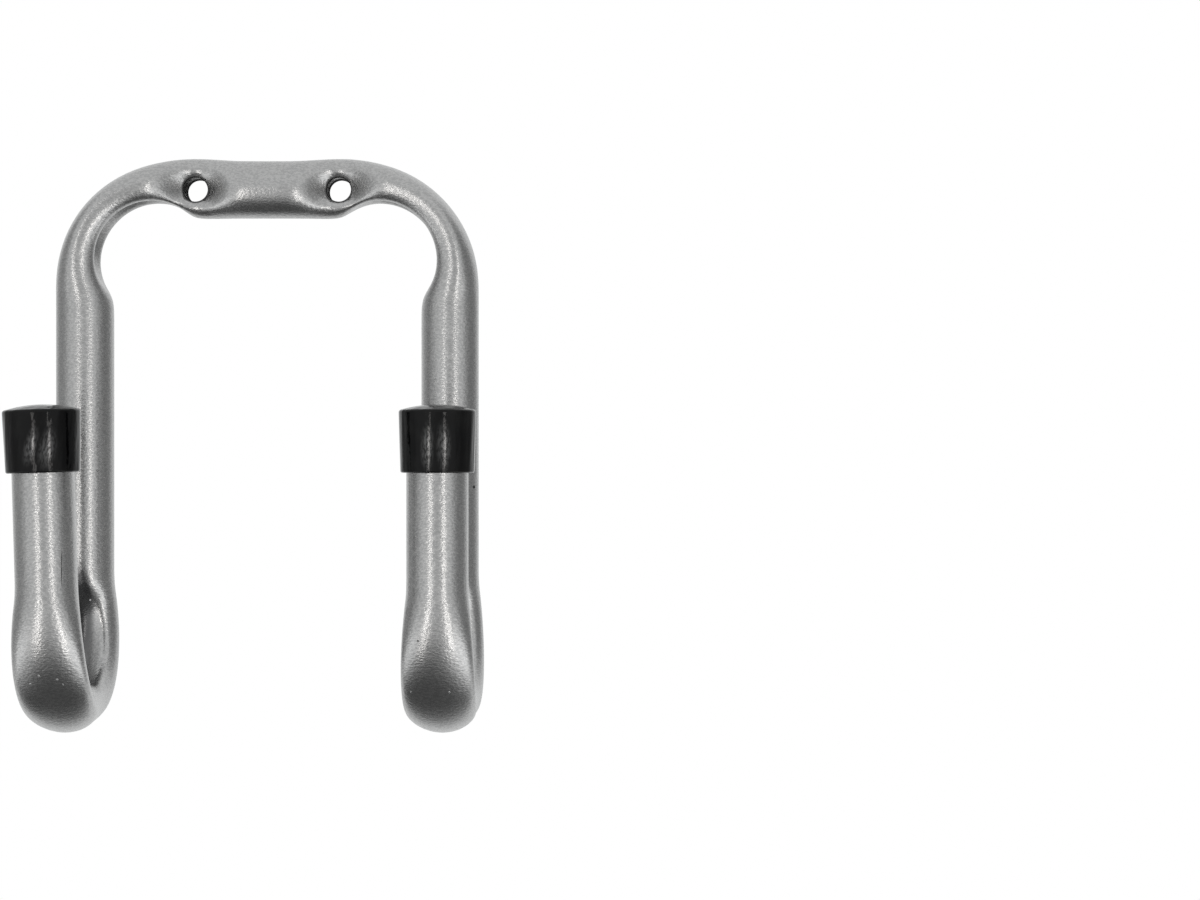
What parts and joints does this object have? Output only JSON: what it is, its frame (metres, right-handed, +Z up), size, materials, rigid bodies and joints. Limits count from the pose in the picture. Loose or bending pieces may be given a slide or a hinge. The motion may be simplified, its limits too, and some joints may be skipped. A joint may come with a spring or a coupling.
{
  "type": "garage utility hook",
  "caption": "Wall-mounted storage hook bent from one steel tube: a screwed top bar, legs that run down into upturned prongs, and soft caps on the prong ends.",
  "frame": {"origin": "on the wall plane, midway between the axes of the two screw holes", "axes": "+Z up along the legs, +X to the hook's right as seen from the room, -Y out of the wall towards the room"},
  "size_m": [0.122, 0.0783, 0.1569],
  "materials": {
    "powder_coated_steel": "silver grey textured powder coat",
    "black_vinyl": "glossy dip-moulded vinyl"
  },
  "bodies": {
    "root": {"hook_tube": "powder_coated_steel", "left_cap": "black_vinyl", "right_cap": "black_vinyl"}
  },
  "joints": []
}
